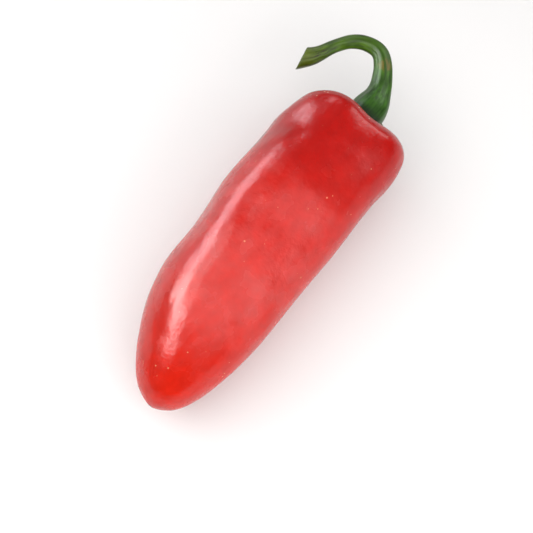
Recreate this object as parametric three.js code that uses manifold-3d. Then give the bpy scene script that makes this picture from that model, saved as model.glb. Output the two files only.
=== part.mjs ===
// A ripe red jalapeno pepper, whole, lying on its side: pod, calyx and stem.
// Millimetres, +Z up. +X runs along the pod from the blossom end to the stem end.
// The origin is on the surface that the pepper lies on, under the middle of its box.
import * as THREE from "three";
import { mergeVertices } from "three/addons/utils/BufferGeometryUtils.js";
import Module from "manifold-3d";

const wasm = await Module();
wasm.setup();

// Driving dimensions of the pod
const POD_LENGTH = 90; // crown rim to blossom end
const POD_RADIUS = 17; // half of its fullest width
const POD_SEGMENTS = 60; // faces round the pod
const POD_RINGS = 52; // faces from the blossom end to the bottom of the crown's hollow
const BOW = 2.4; // how far the pod's middle line bows to +Y
const TIP_DROP = 4.6; // how far the blossom end hangs below the middle line
const REST_TRIM = 0.4; // depth of the flat spot that the pod rests on
const REST_HEIGHT = POD_RADIUS - REST_TRIM; // the crown's centre above the surface

// Driving dimensions of the calyx and the stem
const GAP = 0.3; // clearance between pod, calyx and stem
const CALYX_SEGMENTS = 72;
const CALYX_RINGS = 9; // faces from its middle to its edge, on each side
const CALYX_THICKNESS = 1.1;
const CALYX_EDGE_THICKNESS = 0.7;
const CALYX_REACH = 8.9; // from the stem's axis to the edge between two teeth
const TOOTH_REACH = 2.2; // how far a tooth stands past that edge
const TOOTH_WIDTH = 34; // degrees round the crown
const TOOTH_ANGLES = [14, 71, 128, 196, 250, 309]; // degrees round the crown
const COLLAR_RADIUS = 6.7; // the raised ring round the stem's foot
const COLLAR_WIDTH = 1.4; // half of the ring's own width
const COLLAR_HEIGHT = 0.8;
const STEM_FOOT = -0.3; // the stem's lower end, along +X from the crown rim
const STEM_SEGMENTS = 25;
const STEM_RINGS = 44;
const STEM_RIBS = 5;
const STEM_RIB_HEIGHT = 0.06; // share of the stem's radius
const CUT_SLOPE = 0.6; // how far the cut end slants, against its width
const CUT_LENGTH = 0.13; // share of the stem over which that slant builds up

const degrees = THREE.MathUtils.degToRad;
const smooth = (t) => THREE.MathUtils.smoothstep(t, 0, 1);
// 1 at the middle of a soft bump and 0 from its edge outwards.
const bump = (distance, reach) => smooth(1 - Math.abs(distance) / reach);
const turnBetween = (a, b) => Math.atan2(Math.sin(a - b), Math.cos(a - b));

// Pod outline: distance behind the crown rim as a share of the length, and radius as a share of the fullest.
// It starts at the bottom of the crown's hollow and ends on the blossom end's small point.
const podOutline = new THREE.SplineCurve(
  [
    [0.03, 0.0],
    [0.028, 0.24],
    [0.018, 0.44],
    [0.005, 0.58],
    [0.0, 0.68],
    [0.006, 0.8],
    [0.028, 0.915],
    [0.066, 0.98],
    [0.115, 1.0],
    [0.19, 0.985],
    [0.3, 1.0],
    [0.42, 0.985],
    [0.54, 0.965],
    [0.65, 0.92],
    [0.74, 0.85],
    [0.82, 0.755],
    [0.89, 0.625],
    [0.945, 0.46],
    [0.98, 0.29],
    [0.995, 0.14],
    [0.999, 0.06],
    [1.005, 0.04],
    [1.007, 0.0],
  ].map(([along, out]) => new THREE.Vector2(along * POD_LENGTH, out * POD_RADIUS)),
);
const SHOULDER = 8 / (podOutline.points.length - 1); // share of the outline at the crown's widest point

// Four lobes run the length of the pod and swell over the crown, as its seed chambers make them.
// Angles run round the pod from +Y towards +Z, and heights are in millimetres.
const LOBES = [
  { angle: 70, body: 0.95, crown: 1.0 },
  { angle: 158, body: 0.75, crown: 1.2 },
  { angle: 236, body: 0.55, crown: 1.7 },
  { angle: 331, body: 0.8, crown: 1.0 },
];
const LOBE_REACH = degrees(52);

// The furrow between two lobes crosses the rim as a shallow notch.
const FURROWS = [
  { angle: 113, depth: 0.9 },
  { angle: 200, depth: 1.2 },
  { angle: 284, depth: 0.7 },
  { angle: 20, depth: 1.0 },
];
const FURROW_REACH = degrees(24);
const FURROW_LENGTH = 17;

// Dents and swellings: distance behind the rim, angle, reach, and height (a dent's is negative).
const DENTS = [
  { along: 46, angle: 18, reach: 14, height: -1.4 },
  { along: 53, angle: 52, reach: 11, height: -0.7 },
  { along: 66, angle: 24, reach: 13, height: 0.5 },
  { along: 11, angle: 66, reach: 10, height: -0.7 },
  { along: 15, angle: 118, reach: 16, height: -0.6 },
  { along: 40, angle: 115, reach: 17, height: -0.5 },
  { along: 23, angle: 200, reach: 14, height: -0.6 },
  { along: 62, angle: 150, reach: 15, height: 0.4 },
  { along: 24, angle: 350, reach: 13, height: -0.45 },
  { along: 44, angle: 225, reach: 12, height: -0.4 },
  { along: 55, angle: 268, reach: 17, height: 0.5 },
];

// The stem leaves the crown along the pod's axis and hooks over to +Y. Points are from the crown's centre.
const stemPath = new THREE.CatmullRomCurve3(
  [
    [STEM_FOOT, 0, 0],
    [3, -0.4, 0],
    [6.5, -0.6, 0.1],
    [11.6, 0.2, 0.3],
    [15, 1.7, 0.7],
    [17.9, 3.5, 1],
    [20.2, 6.1, 1.5],
    [20.4, 9, 1.9],
    [18.8, 13.1, 2.2],
    [15.2, 16.3, 2.2],
    [9.1, 20, 1.7],
    [7.2, 22.2, 1.4],
  ].map((point) => new THREE.Vector3(...point)),
);
const hookOutside = new THREE.Vector3(0.8, 0.6, 0); // out of the hook's bend, at the cut end

// Stem radius from the foot to the cut end, where the stem swells to the joint that it was cut at.
const stemRadius = new THREE.SplineCurve(
  [
    [0, 4.7],
    [0.14, 4.8],
    [0.26, 3.2],
    [0.36, 2.65],
    [0.46, 2.35],
    [0.56, 2.1],
    [0.66, 1.95],
    [0.76, 1.75],
    [0.86, 1.9],
    [0.94, 2.4],
    [1, 2.8],
  ].map(([share, radius]) => new THREE.Vector2(share, radius)),
);

function podSwelling(along, angle, radius) {
  const crownShare = bump(along, 0.2 * POD_LENGTH);
  const tipShare = smooth((POD_LENGTH - along) / (0.3 * POD_LENGTH));
  const inner = THREE.MathUtils.smoothstep(radius, 0.32 * POD_RADIUS, 0.7 * POD_RADIUS);
  let out = 0;
  for (const lobe of LOBES) {
    const height = THREE.MathUtils.lerp(lobe.body * tipShare, lobe.crown, crownShare);
    out += height * bump(turnBetween(angle, degrees(lobe.angle)), LOBE_REACH) * inner;
  }
  for (const furrow of FURROWS) {
    const across = bump(turnBetween(angle, degrees(furrow.angle)), FURROW_REACH);
    out -= furrow.depth * across * bump(along, FURROW_LENGTH) * inner;
  }
  for (const dent of DENTS) {
    const round = turnBetween(angle, degrees(dent.angle)) * POD_RADIUS;
    out += dent.height * bump(Math.hypot(along - dent.along, round), dent.reach) * inner;
  }
  return out;
}

// The pod's middle line, by distance behind the rim.
function podMiddle(along) {
  const share = THREE.MathUtils.clamp(along / POD_LENGTH, 0, 1.1);
  const bow = BOW * Math.sin(Math.PI * Math.pow(share, 1.25));
  const drop = TIP_DROP * Math.pow(Math.max(2 * share - 1, 0), 2);
  return new THREE.Vector3(-along, bow, -drop);
}

// A point of the pod's skin, raised from it by lift. Share runs 0 to 1 along the outline.
function podPoint(share, angle, lift = 0) {
  const at = podOutline.getPoint(share);
  const along = podOutline.getTangent(THREE.MathUtils.clamp(share, 1e-3, 1 - 1e-3));
  const raised = lift + podSwelling(at.x, angle, at.y);
  const place = at.x - along.y * raised;
  const out = Math.max(at.y + along.x * raised, 0);
  return podMiddle(place).add(new THREE.Vector3(0, out * Math.cos(angle), out * Math.sin(angle)));
}

// Where the outline of the crown reaches a radius, as a share of the outline.
function crownShareAt(radius) {
  let low = 0;
  let high = SHOULDER;
  for (let step = 0; step < 20; step++) {
    const middle = (low + high) / 2;
    if (podOutline.getPoint(middle).y < radius) low = middle;
    else high = middle;
  }
  return low;
}

// A closed surface turned about +X: place(row, angle) gives each point, from the lower pole to the upper.
function turned(rows, segments, place) {
  const spindle = Array.from({ length: rows + 1 }, (_, row) => new THREE.Vector2(0, row));
  const geometry = new THREE.LatheGeometry(spindle, segments);
  const points = geometry.getAttribute("position");
  for (let column = 0; column <= segments; column++) {
    const angle = ((column % segments) / segments) * 2 * Math.PI;
    for (let row = 0; row <= rows; row++) {
      const { x, y, z } = place(row, angle);
      points.setXYZ(column * (rows + 1) + row, x, y, z);
    }
  }
  return geometry;
}

// Shared corners merged, and faces with no width at the poles left out.
function merged(geometry) {
  const bare = new THREE.BufferGeometry();
  bare.setAttribute("position", geometry.getAttribute("position"));
  bare.setIndex(geometry.getIndex());
  const joined = mergeVertices(bare, 1e-3);
  const index = joined.getIndex().array;
  const kept = [];
  for (let i = 0; i < index.length; i += 3) {
    const [a, b, c] = index.subarray(i, i + 3);
    if (a !== b && b !== c && c !== a) kept.push(a, b, c);
  }
  joined.setIndex(kept);
  return joined;
}

function solidOf(geometry) {
  const closed = merged(geometry);
  const vertProperties = closed.getAttribute("position").array;
  const triVerts = new Uint32Array(closed.getIndex().array);
  return new wasm.Manifold(new wasm.Mesh({ numProp: 3, vertProperties, triVerts }));
}

function geometryOf(solid) {
  const mesh = solid.getMesh();
  const geometry = new THREE.BufferGeometry();
  geometry.setAttribute("position", new THREE.BufferAttribute(mesh.vertProperties, 3));
  geometry.setIndex(new THREE.BufferAttribute(mesh.triVerts, 1));
  return geometry;
}

function podGeometry() {
  const skin = turned(POD_RINGS, POD_SEGMENTS, (row, angle) => podPoint(1 - row / POD_RINGS, angle));
  const surface = new THREE.BoxGeometry(2 * POD_LENGTH, 4 * POD_RADIUS, POD_RADIUS);
  surface.translate(-POD_LENGTH / 2, 0, -REST_HEIGHT - POD_RADIUS / 2);
  return geometryOf(solidOf(skin).subtract(solidOf(surface)));
}

// How far the calyx reaches over the crown: short pointed teeth with a hollow edge between them.
function calyxReach(angle) {
  let reach = CALYX_REACH;
  for (const tooth of TOOTH_ANGLES) {
    const off = Math.abs(turnBetween(angle, degrees(tooth))) / degrees(TOOTH_WIDTH);
    reach += TOOTH_REACH * Math.pow(Math.max(1 - off, 0), 1.5);
  }
  return reach;
}

// The calyx lines the crown's hollow: its underside runs out to the edge, and its upper side runs back.
function calyxGeometry() {
  const rows = 2 * CALYX_RINGS + 1;
  return turned(rows, CALYX_SEGMENTS, (row, angle) => {
    const upper = row > CALYX_RINGS;
    const share = upper ? (rows - row) / CALYX_RINGS : row / CALYX_RINGS;
    const radius = share * calyxReach(angle);
    const thickness = THREE.MathUtils.lerp(CALYX_THICKNESS, CALYX_EDGE_THICKNESS, share * share);
    const collar = COLLAR_HEIGHT * bump(radius - COLLAR_RADIUS, COLLAR_WIDTH);
    return podPoint(crownShareAt(radius), angle, GAP + (upper ? thickness + collar : 0));
  });
}

// The stem: a ribbed round section carried along its path, closed by its foot and its slanting cut end.
function stemGeometry() {
  const { tangents, normals, binormals } = stemPath.computeFrenetFrames(STEM_RINGS, false);
  const rows = STEM_RINGS + 2;
  return turned(rows, STEM_SEGMENTS, (row, angle) => {
    const ring = THREE.MathUtils.clamp(row - 1, 0, STEM_RINGS);
    const share = ring / STEM_RINGS;
    const point = stemPath.getPointAt(share);
    if (row === 0 || row === rows) return point;
    const rib = 1 + STEM_RIB_HEIGHT * Math.cos(STEM_RIBS * angle);
    const out = new THREE.Vector3();
    out.addScaledVector(normals[ring], Math.cos(angle)).addScaledVector(binormals[ring], Math.sin(angle));
    out.multiplyScalar(stemRadius.getPoint(share).y * rib);
    const slant = CUT_SLOPE * smooth((share - 1) / CUT_LENGTH + 1);
    return point.add(out).addScaledVector(tangents[ring], -slant * out.dot(hookOutside));
  });
}

function part(name, geometry, color, roughness) {
  const material = new THREE.MeshStandardMaterial({ color, roughness, metalness: 0 });
  const mesh = new THREE.Mesh(geometry, material);
  mesh.name = name;
  return mesh;
}

const pepper = new THREE.Group();
pepper.add(part("pod", podGeometry(), 0xc8150f, 0.28));
pepper.add(part("calyx", merged(calyxGeometry()), 0x4c5a2a, 0.6));
pepper.add(part("stem", merged(stemGeometry()), 0x6f8a3c, 0.55));
const box = new THREE.Box3().setFromObject(pepper);
const centre = box.getCenter(new THREE.Vector3());
pepper.position.set(-centre.x, -centre.y, REST_HEIGHT);

const group = new THREE.Group();
group.add(pepper);
export default group;
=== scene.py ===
from math import ceil, cos, pi, radians, sin

import bmesh
import bpy
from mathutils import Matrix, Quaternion, Vector


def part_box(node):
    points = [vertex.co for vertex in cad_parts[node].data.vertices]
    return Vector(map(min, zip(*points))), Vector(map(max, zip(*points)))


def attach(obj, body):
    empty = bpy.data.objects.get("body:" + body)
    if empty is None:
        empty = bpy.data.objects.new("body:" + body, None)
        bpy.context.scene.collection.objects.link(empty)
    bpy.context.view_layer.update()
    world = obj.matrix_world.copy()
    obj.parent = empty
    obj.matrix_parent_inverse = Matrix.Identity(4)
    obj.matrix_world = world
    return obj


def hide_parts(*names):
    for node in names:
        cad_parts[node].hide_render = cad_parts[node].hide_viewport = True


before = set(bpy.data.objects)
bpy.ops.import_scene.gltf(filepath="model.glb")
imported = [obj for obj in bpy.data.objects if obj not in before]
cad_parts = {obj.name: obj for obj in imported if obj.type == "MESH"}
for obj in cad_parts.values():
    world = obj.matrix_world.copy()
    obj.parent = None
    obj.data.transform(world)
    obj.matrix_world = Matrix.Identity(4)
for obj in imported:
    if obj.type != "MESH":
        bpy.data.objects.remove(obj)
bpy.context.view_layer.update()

MM = 0.001

# The pod's own sizes, as in the solid model. Angles run round the pod in degrees, from +Y towards +Z.
POD_LENGTH = 90 * MM
BOW = 2.4 * MM
TIP_DROP = 4.6 * MM
REST_HEIGHT = 16.6 * MM
SCAR_POINT = 0.63 * MM  # how far the solid's small point stands out at the blossom end
HOOK_REACH = 22.88 * MM  # from the crown's centre to the cut end's furthest point, along +Y
pod_low, pod_high = (Vector(corner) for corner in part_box("pod"))
stem_high = Vector(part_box("stem")[1])
CROWN = Vector((pod_low.x + POD_LENGTH + SCAR_POINT, stem_high.y - HOOK_REACH, REST_HEIGHT))
TIP = Vector((pod_low.x, CROWN.y, CROWN.z - TIP_DROP))


# Modelling helpers


def deselect_all():
    bpy.ops.object.select_all(action="DESELECT")


def edit(piece):
    """Opens one piece alone in edit mode, with vertices as what is picked."""
    if bpy.context.object and bpy.context.object.mode == "EDIT":
        bpy.ops.object.mode_set(mode="OBJECT")
    deselect_all()
    piece.select_set(True)
    bpy.context.view_layer.objects.active = piece
    bpy.ops.object.mode_set(mode="EDIT")
    bpy.ops.mesh.select_mode(type="VERT")


def leave_edit():
    bpy.ops.object.mode_set(mode="OBJECT")


def pick(piece, chosen):
    """In edit mode, selects the vertices for which chosen(place) is true, and what they enclose."""
    mesh = bmesh.from_edit_mesh(piece.data)
    for vert in mesh.verts:
        vert.select = False
    mesh.select_flush(False)
    for vert in mesh.verts:
        vert.select = bool(chosen(vert.co))
    mesh.select_flush(True)
    bmesh.update_edit_mesh(piece.data)


def pull(piece, places, move, reach):
    """Grabs the vertices nearest to some places and moves them, with a soft fall-off round them.
    The move and its reach are in millimetres."""
    mesh = bmesh.from_edit_mesh(piece.data)
    nearest = {min(mesh.verts, key=lambda vert: (vert.co - place).length_squared) for place in places}
    taken = {vert.index for vert in nearest}
    spots = [vert.co.copy() for vert in mesh.verts if vert.index in taken]
    pick(piece, lambda co: any((co - spot).length_squared < 1e-14 for spot in spots))
    bpy.ops.transform.translate(
        value=move * MM,
        use_proportional_edit=True,
        proportional_edit_falloff="SMOOTH",
        proportional_size=reach * MM,
    )


def add_ring(name, centre, radius, sides):
    """An open ring of edges that faces along X: the start of a turned piece. It stays in edit mode."""
    deselect_all()
    bpy.ops.mesh.primitive_circle_add(vertices=sides, radius=radius, fill_type="NOTHING")
    piece = bpy.context.object
    piece.name = name
    piece.data.name = name
    edit(piece)
    bpy.ops.mesh.select_all(action="SELECT")
    bpy.ops.transform.rotate(value=pi / 2, orient_axis="Y", center_override=(0, 0, 0))
    bpy.ops.transform.translate(value=centre)
    return piece


def extrude_along(stations, middle):
    """Extrudes the picked ring through (distance, radius) stations round a middle line."""
    for (before, old_radius), (after, radius) in zip(stations, stations[1:]):
        centre = middle(after)
        growth = radius / old_radius
        bpy.ops.mesh.extrude_region_move(TRANSFORM_OT_translate={"value": centre - middle(before)})
        bpy.ops.transform.resize(value=(1, growth, growth), center_override=centre)


def close_ends(piece):
    """Fills both open ends and turns all faces outwards."""
    bpy.ops.mesh.select_all(action="DESELECT")
    bpy.ops.mesh.select_non_manifold()
    bpy.ops.mesh.edge_face_add()
    bpy.ops.mesh.select_all(action="SELECT")
    bpy.ops.mesh.normals_make_consistent(inside=False)


def apply_modifier(piece, kind, **settings):
    """Adds a modifier with its settings and applies it."""
    modifier = piece.modifiers.new(kind.title(), kind)
    for name, value in settings.items():
        setattr(modifier, name, value)
    bpy.context.view_layer.objects.active = piece
    bpy.ops.object.modifier_apply(modifier=modifier.name)


def subdivide_smooth(piece, levels):
    apply_modifier(piece, "SUBSURF", levels=levels, render_levels=levels)


def roughen(piece, name, size, height):
    """Lifts and sinks the surface by up to half of height, in soft bumps of that size, in millimetres."""
    texture = bpy.data.textures.new(name, "CLOUDS")
    texture.noise_scale = size * MM
    texture.noise_depth = 1
    apply_modifier(piece, "DISPLACE", texture=texture, strength=height * MM, texture_coords="LOCAL")


def shade_smooth(piece):
    deselect_all()
    piece.select_set(True)
    bpy.context.view_layer.objects.active = piece
    bpy.ops.object.shade_smooth()


def rounded(stations, spacing):
    """The stations joined by a smooth curve, with more stations so that none is past spacing apart."""
    ends = [stations[0], *stations, stations[-1]]
    made = [stations[0]]
    for a, b, c, d in zip(ends, ends[1:], ends[2:], ends[3:]):
        a, b, c, d = (Vector(point) for point in (a, b, c, d))
        parts = ceil((c - b).length / spacing)
        for part in range(1, parts + 1):
            t = part / parts
            bend = (2 * b - 2 * c + (c - a) / 2 + (d - b) / 2) * t**3
            bend += (3 * c - 3 * b - (c - a) - (d - b) / 2) * t**2
            made.append(tuple(bend + (c - a) / 2 * t + b))
    return made


def around(angle):
    """The direction out from the pod's middle line at an angle in degrees."""
    return Vector((0, cos(radians(angle)), sin(radians(angle))))


def from_crown(place):
    """A place given in millimetres from the crown's centre."""
    return CROWN + Vector(place) * MM


# Pod, in millimetres and degrees

POD_SIDES = 36
POD_STEP = 3.2  # between rings

# Distance behind the crown's rim and radius, from the crown's hollow to the blossom end.
POD_OUTLINE = [
    (2.5, 4.1), (1.6, 7.5), (0.45, 9.9), (0.0, 11.6), (0.5, 13.6), (2.5, 15.6), (5.9, 16.7), (10.4, 17.0),
    (17.1, 16.75), (27.0, 17.0), (37.8, 16.75), (48.6, 16.4), (58.5, 15.65), (66.6, 14.45), (73.8, 12.85),
    (80.1, 10.6), (85.05, 7.8), (88.2, 4.95), (89.55, 2.4), (89.95, 1.0), (90.1, 0.6),
]
RIM_POINT = 3  # the outline's point on the rim, where its outside starts

# Angle, and how far the lobe stands out along the body and over the crown.
LOBES = [(70, 0.95, 1.0), (158, 0.75, 1.2), (236, 0.55, 1.7), (331, 0.8, 1.0)]
LOBE_RIDGE = range(10, 70, 3)  # where a lobe is gripped along the body, behind the rim
LOBE_REACH = 15
SHOULDER = 3  # where a lobe is gripped over the crown, behind the rim
SHOULDER_REACH = 11

# Angle and depth of the furrow that crosses the rim between two lobes.
FURROWS = [(113, 0.9), (200, 1.2), (284, 0.7), (20, 1.0)]
FURROW_NOTCH = (1, 5)  # where a furrow is gripped, behind the rim
FURROW_LEAN = 0.7  # share of its depth that goes inwards, and as much that goes towards the tip
FURROW_REACH = 7

# Distance behind the rim, angle, reach and height (a dent's is negative).
DENTS = [
    (46, 18, 14, -1.4), (53, 52, 11, -0.7), (66, 24, 13, 0.5), (11, 66, 10, -0.7), (15, 118, 16, -0.6),
    (40, 115, 17, -0.5), (23, 200, 14, -0.6), (62, 150, 15, 0.4), (24, 350, 13, -0.45), (44, 225, 12, -0.4),
    (55, 268, 17, 0.5), (15, 55, 8, -0.8), (6, 85, 18, -1.0),
]

# Size and height of the waves in the surface.
FLESH_WAVES = (13, 0.3)
SKIN_WAVES = (6, 0.12)


def pod_middle(behind):
    """The pod's middle line, by distance behind the rim."""
    share = min(max(behind * MM / POD_LENGTH, 0), 1.1)
    bow = BOW * sin(pi * share**1.25)
    drop = TIP_DROP * max(2 * share - 1, 0) ** 2
    return CROWN + Vector((-behind * MM, bow, -drop))


def pod_radius(behind):
    """The outline's radius outside the crown's hollow."""
    outside = POD_OUTLINE[RIM_POINT:]
    for (near, small), (far, large) in zip(outside, outside[1:]):
        if behind <= far:
            return small + (large - small) * (behind - near) / (far - near)
    return outside[-1][1]


def pod_skin(behind, angle):
    return pod_middle(behind) + around(angle) * pod_radius(behind) * MM


def model_pod():
    """Extrudes the pod from the crown's hollow to the blossom end, then pulls out its lobes and dents."""
    start = POD_OUTLINE[0]
    pod = add_ring("pepper_pod", pod_middle(start[0]), start[1] * MM, POD_SIDES)
    extrude_along(rounded(POD_OUTLINE, POD_STEP), pod_middle)
    close_ends(pod)
    for angle, body, crown in LOBES:
        ridge = [pod_skin(behind, angle) for behind in LOBE_RIDGE]
        pull(pod, ridge, around(angle) * body, LOBE_REACH)
        swell = around(angle) * (crown - body) + Vector((crown, 0, 0))
        pull(pod, [pod_skin(SHOULDER, angle)], swell, SHOULDER_REACH)
    for angle, depth in FURROWS:
        notch = [pod_skin(behind, angle) for behind in FURROW_NOTCH]
        sink = (around(angle) * -FURROW_LEAN - Vector((FURROW_LEAN, 0, 0))) * depth
        pull(pod, notch, sink, FURROW_REACH)
    for behind, angle, reach, height in DENTS:
        pull(pod, [pod_skin(behind, angle)], around(angle) * height, reach)
    leave_edit()
    subdivide_smooth(pod, 2)
    roughen(pod, "flesh_waves", *FLESH_WAVES)
    roughen(pod, "skin_waves", *SKIN_WAVES)
    # The flat spot that it rests on.
    edit(pod)
    pick(pod, lambda co: co.z < 0)
    bpy.ops.transform.resize(value=(1, 1, 0), center_override=(0, 0, 0))
    leave_edit()
    shade_smooth(pod)
    return pod


# Calyx, in millimetres and degrees

CALYX_SIDES = 72

# Distance ahead of the crown's rim and from the stem's axis, from under the stem's foot to the edge.
CALYX_OUTLINE = [
    (-1.6, 3.0), (-1.5, 4.2), (-1.4, 5.2), (-1.0, 6.0), (-0.6, 6.8), (0.1, 7.5), (0.6, 8.2), (1.0, 8.9),
]
CALYX_LIFT = 0.35  # above the pod's skin
CALYX_THICKNESS = 0.75
CALYX_WRINKLES = (1.8, 0.35)  # size and height

TEETH = [14, 71, 128, 196, 250, 309]
TOOTH_LENGTH = 2.2  # past the edge
TOOTH_REACH = 3.2
TIP_LIFT = 0.55
TIP_REACH = 1.6

# The ribs run out to the teeth, from the raised ring round the stem's foot.
RIB_RADII = (7, 8, 9, 10)
RIB_LIFT = 0.35
RIB_REACH = 1.1
COLLAR_RADIUS = 6.3
COLLAR_LIFT = 0.9
COLLAR_REACH = 1.3
COLLAR_TURN = 5  # degrees between the places where the collar is gripped


def calyx_middle(ahead):
    return from_crown((ahead, 0, 0))


def crown_plane(angle, radius):
    """A place in the plane of the crown's rim."""
    return CROWN + around(angle) * radius * MM


def model_calyx(pod):
    """A leathery cap drawn down over the crown, with a collar round the stem's foot and short teeth."""
    foot, edge = CALYX_OUTLINE[0], CALYX_OUTLINE[-1]
    calyx = add_ring("pepper_calyx", calyx_middle(foot[0]), foot[1] * MM, CALYX_SIDES)
    extrude_along(CALYX_OUTLINE, calyx_middle)
    for angle in TEETH:
        root = calyx_middle(edge[0]) + around(angle) * edge[1] * MM
        pull(calyx, [root], around(angle) * TOOTH_LENGTH, TOOTH_REACH)
    leave_edit()
    apply_modifier(calyx, "SHRINKWRAP", target=pod, wrap_mode="ABOVE_SURFACE", offset=CALYX_LIFT * MM)
    edit(calyx)
    collar = [crown_plane(angle, COLLAR_RADIUS) for angle in range(0, 360, COLLAR_TURN)]
    pull(calyx, collar, Vector((COLLAR_LIFT, 0, 0)), COLLAR_REACH)
    for angle in TEETH:
        rib = [crown_plane(angle, radius) for radius in RIB_RADII]
        pull(calyx, rib, Vector((RIB_LIFT, 0, 0)), RIB_REACH)
        tip = crown_plane(angle, edge[1] + TOOTH_LENGTH)
        pull(calyx, [tip], Vector((TIP_LIFT, 0, 0)), TIP_REACH)
    leave_edit()
    apply_modifier(calyx, "SOLIDIFY", thickness=CALYX_THICKNESS * MM, offset=1)
    subdivide_smooth(calyx, 2)
    roughen(calyx, "calyx_wrinkles", *CALYX_WRINKLES)
    shade_smooth(calyx)
    return calyx


# Stem, in millimetres and degrees

# Points of the stem's middle line from the crown's centre, as in the solid model.
STEM_PATH = [
    (-0.3, 0, 0), (3, -0.4, 0), (6.5, -0.6, 0.1), (11.6, 0.2, 0.3), (15, 1.7, 0.7), (17.9, 3.5, 1),
    (20.2, 6.1, 1.5), (20.4, 9, 1.9), (18.8, 13.1, 2.2), (15.2, 16.3, 2.2), (9.1, 20, 1.7), (7.2, 22.2, 1.4),
]
PATH_SMOOTHNESS = 24  # parts between two of its points

# Share of the stem's length, from the foot to the cut end, and radius.
STEM_OUTLINE = [
    (0, 4.7), (0.14, 4.8), (0.26, 3.2), (0.36, 2.65), (0.46, 2.35), (0.56, 2.1), (0.66, 1.95), (0.76, 1.75),
    (0.86, 1.9), (0.94, 2.4), (1, 2.8),
]
STEM_SIDES = 30
STEM_LENGTH = 45.1  # along the bent middle line
STEM_STEP = 1.2  # between rings
STEM_TWIST = 35

STEM_RIBS = 5
RIDGE_GROWTH = 1.07
VALLEY_GROWTH = 0.93
SAME_LINE = 0.99  # a vertex lies on a ridge or valley where the cosine between them is above this

HOOK_OUTSIDE = Vector((0.8, 0.6, 0))  # out of the hook's bend, at the cut end
CUT_SLOPE = 0.6
CUT_TILT = Vector((0, 0, 0.3))  # turns the cut a little upwards
CUT_SPARE = 4  # stem past the cut, which the cut takes off
CUT_FLARE = 0.3  # how much wider that spare end gets
CUT_NEAR = 12  # only the stem this near its end is cut, not the rest of the hook
TORN_RIM = 0.3  # width of the torn rim, and of the slope from it down to the pith
TORN_LIFT = 0.1
PITH_DEPTH = 0.5

# Creases inside the hook, from the crown's centre, and how they are pushed.
CREASES = [(14.6, 14.0, 3.2), (9.4, 17.2, 2.6)]
CREASE_PUSH = Vector((0.3, 0.3, -0.1))
CREASE_REACH = 1.6


def stem_curve():
    """The stem's middle line as a smooth curve, to bend the straight stem along."""
    deselect_all()
    bpy.ops.curve.primitive_bezier_curve_add()
    path = bpy.context.object
    path.data.dimensions = "3D"
    path.data.resolution_u = PATH_SMOOTHNESS
    path.data.twist_mode = "MINIMUM"
    spline = path.data.splines[0]
    spline.bezier_points.add(len(STEM_PATH) - len(spline.bezier_points))
    for point, place in zip(spline.bezier_points, STEM_PATH):
        point.co = Vector(place) * MM
        point.handle_left_type = "AUTO"
        point.handle_right_type = "AUTO"
    path.location = CROWN
    return path


def model_stem():
    """A ribbed straight stem, twisted and bent along its path. Its straight places stay as an attribute,
    for the fibres."""
    path = stem_curve()
    outline = [(share * STEM_LENGTH, radius) for share, radius in STEM_OUTLINE]
    outline.append((STEM_LENGTH + CUT_SPARE, outline[-1][1] + CUT_FLARE))
    stem = add_ring("pepper_stem", (0, 0, 0), outline[0][1] * MM, STEM_SIDES)
    extrude_along(rounded(outline, STEM_STEP), lambda along: Vector((along * MM, 0, 0)))
    close_ends(stem)
    for rib in range(STEM_RIBS):
        ridge = around(rib * 360 / STEM_RIBS)
        valley = around((rib + 0.5) * 360 / STEM_RIBS)
        for line, growth in ((ridge, RIDGE_GROWTH), (valley, VALLEY_GROWTH)):
            pick(stem, lambda co: Vector((0, co.y, co.z)).normalized().dot(line) > SAME_LINE)
            bpy.ops.transform.resize(value=(1, growth, growth), center_override=(0, 0, 0))
    leave_edit()
    straight = stem.data.attributes.new("straight", "FLOAT_VECTOR", "POINT")
    for vert, kept in zip(stem.data.vertices, straight.data):
        kept.vector = vert.co
    twist = radians(STEM_TWIST)
    apply_modifier(stem, "SIMPLE_DEFORM", deform_method="TWIST", deform_axis="X", angle=twist)
    stem.location = path.location
    apply_modifier(stem, "CURVE", object=path, deform_axis="POS_X")
    deselect_all()
    stem.select_set(True)
    bpy.ops.object.transform_apply(location=True, rotation=True, scale=True)
    bpy.data.objects.remove(path)
    return stem


def cut_stem(stem):
    """Cuts the stem on the slant, with a torn rim round a sunken pith, and creases the hook's inside.
    The cut takes the stem's second material."""
    end, before = from_crown(STEM_PATH[-1]), from_crown(STEM_PATH[-2])
    facing = (end - before).normalized() + CUT_SLOPE * HOOK_OUTSIDE + CUT_TILT
    edit(stem)
    pick(stem, lambda co: (co - end).length < CUT_NEAR * MM)
    bpy.ops.mesh.bisect(plane_co=end, plane_no=facing, use_fill=True, clear_outer=True)
    bpy.ops.mesh.inset(thickness=TORN_RIM * MM, depth=TORN_LIFT * MM)
    stem.active_material_index = 1
    bpy.ops.object.material_slot_assign()
    bpy.ops.mesh.inset(thickness=TORN_RIM * MM, depth=-PITH_DEPTH * MM)
    for crease in CREASES:
        pull(stem, [from_crown(crease)], CREASE_PUSH, CREASE_REACH)
    leave_edit()
    subdivide_smooth(stem, 1)
    shade_smooth(stem)


# Materials

# Settings of a Mix node that lays one colour over another, and of one that darkens a colour by another.
LAY_OVER = {"data_type": "RGBA"}
DARKEN = {"data_type": "RGBA", "blend_type": "MULTIPLY", "Factor_Float": 1}

PATCH_FADE = 1.5  # radii at which a patch is gone, its ragged noise included

# Places on the stem in millimetres from the crown's centre, and the radius of each patch there.
SCUFF, SCUFF_RADIUS = (17.4, 2.6, 3.0), 2.2
CRACKS, CRACK_RADIUS = [(9.6, 17.4, 2.6), (14.2, 14.2, 3.0)], 2.6


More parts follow.
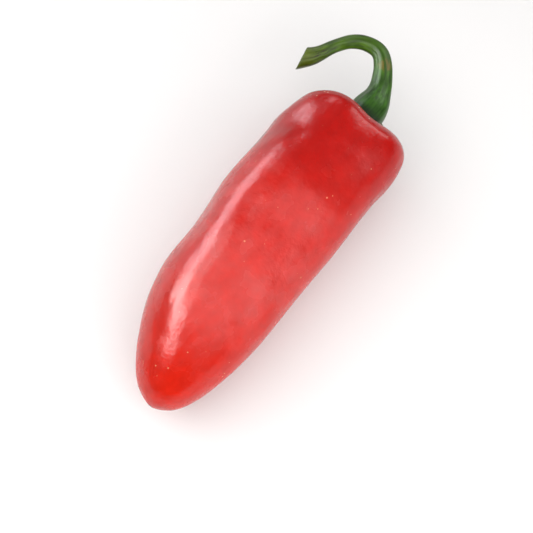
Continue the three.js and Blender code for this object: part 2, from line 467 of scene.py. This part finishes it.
def linear(code):
    """An sRGB hex colour as linear red, green, blue and alpha."""
    parts = [int(code[place : place + 2], 16) / 255 for place in (1, 3, 5)]
    return (*[part / 12.92 if part <= 0.04045 else ((part + 0.055) / 1.055) ** 2.4 for part in parts], 1)


def socket(sockets, name):
    """A socket by its identifier, which tells a Mix node's sockets apart, or else by its label."""
    found = next((one for one in sockets if one.identifier == name), None)
    return found or sockets[name.replace("_", " ")]


def add_node(tree, kind, *values, stops=(), **settings):
    """Adds a node. Values go to its sockets in order, settings to its fields, or to its sockets by name,
    and stops to its ramp. A hex colour is turned linear. A node or an output is linked, a node by the
    first output in use."""
    node = tree.nodes.new(kind)
    given = list(zip(node.inputs, values))
    for name, value in settings.items():
        if hasattr(node, name):
            setattr(node, name, value)
        else:
            given.append((socket(node.inputs, name), value))
    for target, value in given:
        if isinstance(value, bpy.types.Node):
            value = next(output for output in value.outputs if output.enabled)
        if isinstance(value, bpy.types.NodeSocket):
            tree.links.new(value, target)
        else:
            target.default_value = linear(value) if isinstance(value, str) else value
    if stops:
        elements = node.color_ramp.elements
        while len(elements) < len(stops):
            elements.new(0.5)
        for element, (position, colour) in zip(elements, stops):
            element.position = position
            element.color = linear(colour)
    return node


def new_material(name):
    material = bpy.data.materials.new(name)
    material.use_nodes = True
    tree = material.node_tree
    tree.nodes.clear()
    return material, tree


def patch(tree, place, centre, radius, ragged):
    """A ragged round patch: 1 at its centre, 0 past its radius, which is in millimetres."""
    gap = add_node(tree, "ShaderNodeVectorMath", place, centre, operation="DISTANCE")
    torn = add_node(tree, "ShaderNodeMath", ragged, radius * MM, gap, operation="MULTIPLY_ADD")
    return add_node(
        tree, "ShaderNodeMapRange", torn, From_Min=radius * MM * PATCH_FADE, From_Max=radius * MM
    )


def pepper_skin():
    """Waxy skin of a ripe chilli: clear red, deeper at the crown and orange at the tip, with soft broad
    reflections, fine pebbles that break them up, small pale corky specks and a dark blossom scar."""
    material, tree = new_material("ripe_chilli_skin")
    place = add_node(tree, "ShaderNodeTexCoord").outputs["Object"]

    # The reds run along the pod, with borders that wander by up to 20 mm either way.
    axes = add_node(tree, "ShaderNodeSeparateXYZ", place)
    drift = add_node(tree, "ShaderNodeTexNoise", place, Scale=1 / (16 * MM), Detail=2)
    shifted = add_node(tree, "ShaderNodeMath", drift, 40 * MM, axes, operation="MULTIPLY_ADD")
    start, end = pod_low.x + 20 * MM, pod_high.x + 20 * MM
    along = add_node(tree, "ShaderNodeMapRange", shifted, From_Min=start, From_Max=end)
    ripe = [(0.02, "#d01c04"), (0.3, "#c51704"), (0.62, "#c21304"), (0.82, "#ad0903")]
    red = add_node(tree, "ShaderNodeValToRGB", along, stops=ripe)

    # Cells under the skin, about 3 mm, a little lighter and darker.
    mottle = add_node(tree, "ShaderNodeTexNoise", place, Scale=1 / (3 * MM), Detail=3)
    shade = add_node(tree, "ShaderNodeValToRGB", mottle, stops=[(0.3, "#ececec"), (0.7, "#ffffff")])
    flesh = add_node(tree, "ShaderNodeMix", **DARKEN, A_Color=red, B_Color=shade)

    # A thin dull film of wax in 7 mm patches on the body, which greys the red a little: partly the wax's own
    # bloom, partly painted sheen, pale patches in the colour that stand in for a mottled reflection.
    bloom = add_node(tree, "ShaderNodeTexNoise", place, Scale=1 / (7 * MM), Detail=3)
    wax_and_painted_sheen = add_node(tree, "ShaderNodeMapRange", bloom, From_Min=0.42, From_Max=0.7, To_Max=0.045)
    clear_ends = [(0.1, "#000000"), (0.35, "#ffffff"), (0.55, "#ffffff"), (0.72, "#000000")]
    body = add_node(tree, "ShaderNodeValToRGB", along, stops=clear_ends)
    wax_and_painted_sheen = add_node(tree, "ShaderNodeMath", wax_and_painted_sheen, body, operation="MULTIPLY")
    flesh = add_node(
        tree, "ShaderNodeMix", **LAY_OVER, Factor_Float=wax_and_painted_sheen, A_Color=flesh, B_Color="#c8b8b8"
    )

    # Corky specks up to about 0.4 mm across, at most one to each 1.8 mm, in loose groups.
    dots = add_node(tree, "ShaderNodeTexVoronoi", place, Scale=1 / (1.8 * MM))
    groups = add_node(tree, "ShaderNodeTexNoise", place, Scale=1 / (9 * MM), Detail=1)
    rarity = add_node(tree, "ShaderNodeMapRange", groups, From_Min=0.5, From_Max=0.68, To_Max=0.13)
    dot = add_node(tree, "ShaderNodeMath", rarity, dots, operation="SUBTRACT")
    speck = add_node(tree, "ShaderNodeMapRange", dot, From_Max=0.03)
    flesh = add_node(
        tree, "ShaderNodeMix", **LAY_OVER, Factor_Float=speck, A_Color=flesh, B_Color="#d9906c"
    )

    # The dried blossom scar at the tip.
    scar = patch(tree, place, TIP, 1.3, mottle)
    flesh = add_node(
        tree, "ShaderNodeMix", **LAY_OVER, Factor_Float=scar, A_Color=flesh, B_Color="#3a2212"
    )

    # Pebbles 0.9 mm across, which break up the edges of the bright streaks, and low waves 4 mm across
    # and two and a half times as long, which mottle the broad reflection.
    pebbles = add_node(tree, "ShaderNodeTexNoise", place, Scale=1 / (0.9 * MM), Detail=1)
    pebbled = add_node(tree, "ShaderNodeBump", Strength=1, Distance=0.045 * MM, Height=pebbles)
    lengthened = add_node(tree, "ShaderNodeMapping", place, Scale=(0.4, 1, 1))
    waves = add_node(tree, "ShaderNodeTexNoise", lengthened, Scale=1 / (4 * MM), Detail=1)
    bump = add_node(
        tree, "ShaderNodeBump", Strength=1, Distance=0.34 * MM, Height=waves, Normal=pebbled
    )
    rough = add_node(tree, "ShaderNodeMapRange", bloom, To_Min=0.17, To_Max=0.35)
    shader = add_node(
        tree,
        "ShaderNodeBsdfPrincipled",
        Base_Color=flesh,
        Roughness=rough,
        Normal=bump,
        IOR=1.4,
        Subsurface_Weight=0.1,
        Subsurface_Scale=1.5 * MM,
        Subsurface_Radius=(1.0, 0.2, 0.1),
    )
    add_node(tree, "ShaderNodeOutputMaterial", shader)
    return material


def stem_green():
    """Chilli stalk: mid green with fine fibres along it, painted shade darkening the foot, an olive end, a
    tan scuff, brown cracks inside the hook and a soft grey sheen."""
    material, tree = new_material("chilli_stalk")
    place = add_node(tree, "ShaderNodeTexCoord").outputs["Object"]
    straight = add_node(tree, "ShaderNodeAttribute", attribute_name="straight").outputs["Vector"]
    axes = add_node(tree, "ShaderNodeSeparateXYZ", straight)
    along = add_node(tree, "ShaderNodeMapRange", axes, From_Max=STEM_LENGTH * MM)
    # Greens from the foot to the cut end. The near-black first stops are painted shade, where the foot meets
    # the calyx.
    greens = [
        (0.06, "#12280a"), (0.08, "#1a390a"), (0.115, "#32600f"), (0.35, "#406a14"), (0.6, "#4a6c0e"),
        (0.82, "#4d6c0a"), (0.97, "#586606"),
    ]
    colour = add_node(tree, "ShaderNodeValToRGB", along, stops=greens)

    # Fibres about 0.3 mm across, from a 0.6 mm noise, and a slow drift between lighter and darker green.
    lengthened = add_node(tree, "ShaderNodeMapping", straight, Scale=(0.12, 1, 1))
    fibres = add_node(tree, "ShaderNodeTexNoise", lengthened, Scale=1 / (0.6 * MM), Detail=3)
    shades = add_node(tree, "ShaderNodeValToRGB", fibres, stops=[(0.32, "#a2a696"), (0.66, "#ffffff")])
    colour = add_node(tree, "ShaderNodeMix", **DARKEN, A_Color=colour, B_Color=shades)
    drift = add_node(tree, "ShaderNodeTexNoise", place, Scale=1 / (4 * MM), Detail=3)
    shades = add_node(tree, "ShaderNodeValToRGB", drift, stops=[(0.35, "#cfd6c4"), (0.65, "#ffffff")])
    colour = add_node(tree, "ShaderNodeMix", **DARKEN, A_Color=colour, B_Color=shades)

    # The tan scuff on the outside of the bend, and the cracks on its inside.
    specks = add_node(tree, "ShaderNodeTexNoise", place, Scale=1 / (0.7 * MM), Detail=3)
    scuff = patch(tree, place, from_crown(SCUFF), SCUFF_RADIUS, specks)
    worn = add_node(tree, "ShaderNodeMapRange", fibres, From_Min=0.4, From_Max=0.62, To_Max=0.55)
    scuff = add_node(tree, "ShaderNodeMath", scuff, worn, operation="MULTIPLY")
    colour = add_node(
        tree, "ShaderNodeMix", **LAY_OVER, Factor_Float=scuff, A_Color=colour, B_Color="#7a5228"
    )
    dark_fibres = add_node(tree, "ShaderNodeMapRange", fibres, From_Min=0.46, From_Max=0.4)
    for spot in CRACKS:
        near = patch(tree, place, from_crown(spot), CRACK_RADIUS, specks)
        crack = add_node(tree, "ShaderNodeMath", near, dark_fibres, operation="MULTIPLY")
        colour = add_node(
            tree, "ShaderNodeMix", **LAY_OVER, Factor_Float=crack, A_Color=colour, B_Color="#2b2010"
        )

    grain = add_node(tree, "ShaderNodeBump", Strength=0.5, Distance=0.06 * MM, Height=specks)
    bump = add_node(
        tree, "ShaderNodeBump", Strength=0.7, Distance=0.08 * MM, Height=fibres, Normal=grain
    )
    shader = add_node(
        tree,
        "ShaderNodeBsdfPrincipled",
        Base_Color=colour,
        Normal=bump,
        IOR=1.4,
        Specular_IOR_Level=0.45,
        Roughness=0.38,
    )
    add_node(tree, "ShaderNodeOutputMaterial", shader)
    return material


def cut_pith():
    """The stalk's dried cut end: pale fibrous pith inside a brown torn rim."""
    material, tree = new_material("dried_pith")
    place = add_node(tree, "ShaderNodeTexCoord").outputs["Object"]
    specks = add_node(tree, "ShaderNodeTexNoise", place, Scale=1 / (0.5 * MM), Detail=4)
    inside = patch(tree, place, from_crown(STEM_PATH[-1]), 2.0, specks)
    colour = add_node(
        tree, "ShaderNodeMix", **LAY_OVER, Factor_Float=inside, A_Color="#4a3319", B_Color="#a99a6c"
    )
    shades = add_node(tree, "ShaderNodeValToRGB", specks, stops=[(0.35, "#8a7c68"), (0.6, "#ffffff")])
    colour = add_node(tree, "ShaderNodeMix", **DARKEN, A_Color=colour, B_Color=shades)
    bump = add_node(tree, "ShaderNodeBump", Strength=0.8, Distance=0.15 * MM, Height=specks)
    shader = add_node(
        tree, "ShaderNodeBsdfPrincipled", Base_Color=colour, Normal=bump, Roughness=0.75
    )
    add_node(tree, "ShaderNodeOutputMaterial", shader)
    return material


def calyx_green():
    """Leathery calyx: yellow-green round the stalk's foot, dark wrinkled green beyond, with a thin pale
    dry edge and brown tooth tips."""
    material, tree = new_material("chilli_calyx")
    place = add_node(tree, "ShaderNodeTexCoord").outputs["Object"]
    flat = add_node(tree, "ShaderNodeVectorMath", place, (0, 1, 1), operation="MULTIPLY")
    axis = (0, CROWN.y, CROWN.z)
    from_axis = add_node(tree, "ShaderNodeVectorMath", flat, axis, operation="DISTANCE")
    wrinkles = add_node(tree, "ShaderNodeTexNoise", place, Scale=1 / (0.9 * MM), Detail=4)
    wander = add_node(
        tree, "ShaderNodeMath", wrinkles, 1.2 * MM, from_axis, operation="MULTIPLY_ADD"
    )
    outward = add_node(tree, "ShaderNodeMapRange", wander, From_Min=4.6 * MM, From_Max=12.6 * MM)
    greens = [
        (0.05, "#4f6a20"), (0.25, "#2b4512"), (0.45, "#1b320c"), (0.6, "#263f12"), (0.72, "#5a6c34"),
        (0.95, "#6b5a34"),
    ]
    colour = add_node(tree, "ShaderNodeValToRGB", outward, stops=greens)
    shades = add_node(tree, "ShaderNodeValToRGB", wrinkles, stops=[(0.35, "#9aa08c"), (0.65, "#ffffff")])
    colour = add_node(tree, "ShaderNodeMix", **DARKEN, A_Color=colour, B_Color=shades)
    bump = add_node(tree, "ShaderNodeBump", Strength=0.8, Distance=0.15 * MM, Height=wrinkles)
    shader = add_node(
        tree, "ShaderNodeBsdfPrincipled", Base_Color=colour, Normal=bump, Roughness=0.48
    )
    add_node(tree, "ShaderNodeOutputMaterial", shader)
    return material


def table_white():
    """Matt white table top, with a faint glow that lifts its shadows."""
    material, tree = new_material("white_table")
    shader = add_node(
        tree,
        "ShaderNodeBsdfPrincipled",
        Base_Color="#d8d6d5",
        Roughness=0.7,
        Emission_Color="#ffffff",
        Emission_Strength=0.08,
    )
    add_node(tree, "ShaderNodeOutputMaterial", shader)
    return material


# Stage

CAMERA_AZIMUTH = -54.86
CAMERA_ELEVATION = 72
CAMERA_DISTANCE = 319.2 * MM
CAMERA_LENS = 85
LOOK_AT = Vector((-10.6, -5.72, 14)) * MM

TABLE_SIZE = 4  # metres
ROOM_LIGHT = 0.13
ROOM_SEEN = 0.6  # how bright the room looks where it is seen straight, past the table's end
DAYLIGHT = "#f2f6ff"


def direction(azimuth, elevation):
    """The way from the object to a viewer. Azimuth 0 looks along +Y."""
    turn, rise = radians(azimuth), radians(elevation)
    return Vector((sin(turn) * cos(rise), -cos(turn) * cos(rise), sin(rise)))


def add_camera():
    camera = bpy.data.objects.new("camera", bpy.data.cameras.new("camera"))
    bpy.context.collection.objects.link(camera)
    back = direction(CAMERA_AZIMUTH, CAMERA_ELEVATION)
    camera.location = LOOK_AT + back * CAMERA_DISTANCE
    camera.rotation_euler = back.to_track_quat("Z", "Y").to_euler()
    camera.data.lens = CAMERA_LENS
    bpy.context.scene.camera = camera


def add_softbox(
    name, centre, towards, width, height, radiance, lights=True, mirrored=True, tint="#ffffff", turn=0
):
    """A flat soft light, in millimetres and degrees, that faces a point. It lights surfaces, is mirrored
    in them, or both. One that faces straight down has the same x and y in centre and towards."""
    lamp = bpy.data.lights.new(name, "AREA")
    lamp.shape = "RECTANGLE"
    lamp.size = width * MM
    lamp.size_y = height * MM
    lamp.energy = radiance * pi * lamp.size * lamp.size_y
    lamp.color = linear(tint)[:3]
    softbox = bpy.data.objects.new(name, lamp)
    bpy.context.collection.objects.link(softbox)
    softbox.location = Vector(centre) * MM
    aim = (Vector(centre) - Vector(towards)).to_track_quat("Z", "Y")
    softbox.rotation_euler = (aim @ Quaternion((0, 0, 1), radians(turn))).to_euler()
    softbox.visible_camera = False
    softbox.visible_diffuse = lights
    softbox.visible_glossy = mirrored


def add_table():
    deselect_all()
    bpy.ops.mesh.primitive_plane_add(size=TABLE_SIZE)
    table = bpy.context.object
    table.name = "table_top"
    table.data.materials.append(table_white())


def add_room():
    """A dim room, which shows pale only where it is seen straight."""
    world = bpy.data.worlds.new("studio")
    world.use_nodes = True
    tree = world.node_tree
    seen = add_node(tree, "ShaderNodeLightPath").outputs["Is Camera Ray"]
    bright = add_node(tree, "ShaderNodeMapRange", seen, To_Min=ROOM_LIGHT, To_Max=ROOM_SEEN)
    background = tree.nodes["Background"]
    background.inputs["Color"].default_value = linear("#ffffff")
    tree.links.new(bright.outputs[0], background.inputs["Strength"])
    bpy.context.scene.world = world
    bpy.context.scene.view_settings.view_transform = "Standard"


def light_stage():
    """Panels that are only mirrored in the skin, then panels that only light it and the table."""
    # Overhead, ending above the crown: the crown stays deep red and the body takes a pale sheen.
    add_softbox("overhead_sheen", (-36, -170, 230), (-36, -170, 0), 215, 600, 2.2, lights=False, turn=10)
    # A strip high on the left with a softer glow beside it, for the long streak along the upper left side.
    add_softbox("left_strip", (-172, 360, 265), (-172, 360, 0), 235, 590, 15, lights=False, turn=-22)
    add_softbox("left_glow", (-65, 260, 320), (-5, 0, 20), 260, 300, 3.4, lights=False)
    # Low behind and beyond the crown, for the streak's cooler end on the crown's edge.
    add_softbox("low_behind", (95, 440, 190), (0, 0, 20), 250, 260, 9.5, lights=False, tint=DAYLIGHT)
    add_softbox("crown_glow", (385, 285, 235), (25, 0, 20), 150, 80, 8, lights=False, tint=DAYLIGHT)
    # Low in front, for the sheen on the lower right side.
    add_softbox("low_front", (-20, -330, 110), (-20, 0, 110), 170, 220, 2, lights=False)
    # Low on the right, for the spot of light on the crown's shoulder.
    add_softbox("low_right", (390, -110, 200), (30, 0, 20), 160, 160, 4.5, lights=False)
    # Fills for the table and for the skin's own colour.
    add_softbox("overhead_fill", (-90, 60, 260), (-90, 60, 0), 300, 650, 1.0, mirrored=False)
    add_softbox("left_fill", (-80, 400, 360), (-10, 0, 10), 460, 300, 0.9, mirrored=False)
    add_softbox("room_fill", (0, 0, 1500), (0, 0, 0), 4000, 4000, 0.82, mirrored=False)
    add_softbox("front_fill", (-40, -300, 180), (-10, 0, 10), 460, 260, 2.0, mirrored=False)


def dress(piece, node, slot, *materials):
    """Gives a finished piece its materials, hangs it on the root body and hides the solid part it stands
    for.
    """
    for material in materials:
        piece.data.materials.append(material)
    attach(piece, "root")
    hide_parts(node)


add_camera()
pod = model_pod()
calyx = model_calyx(pod)
stem = model_stem()
dress(pod, "pod", "pod_skin", pepper_skin())
dress(calyx, "calyx", "calyx_green", calyx_green())
dress(stem, "stem", "stem_green", stem_green(), cut_pith())
cut_stem(stem)
add_table()
add_room()
light_stage()
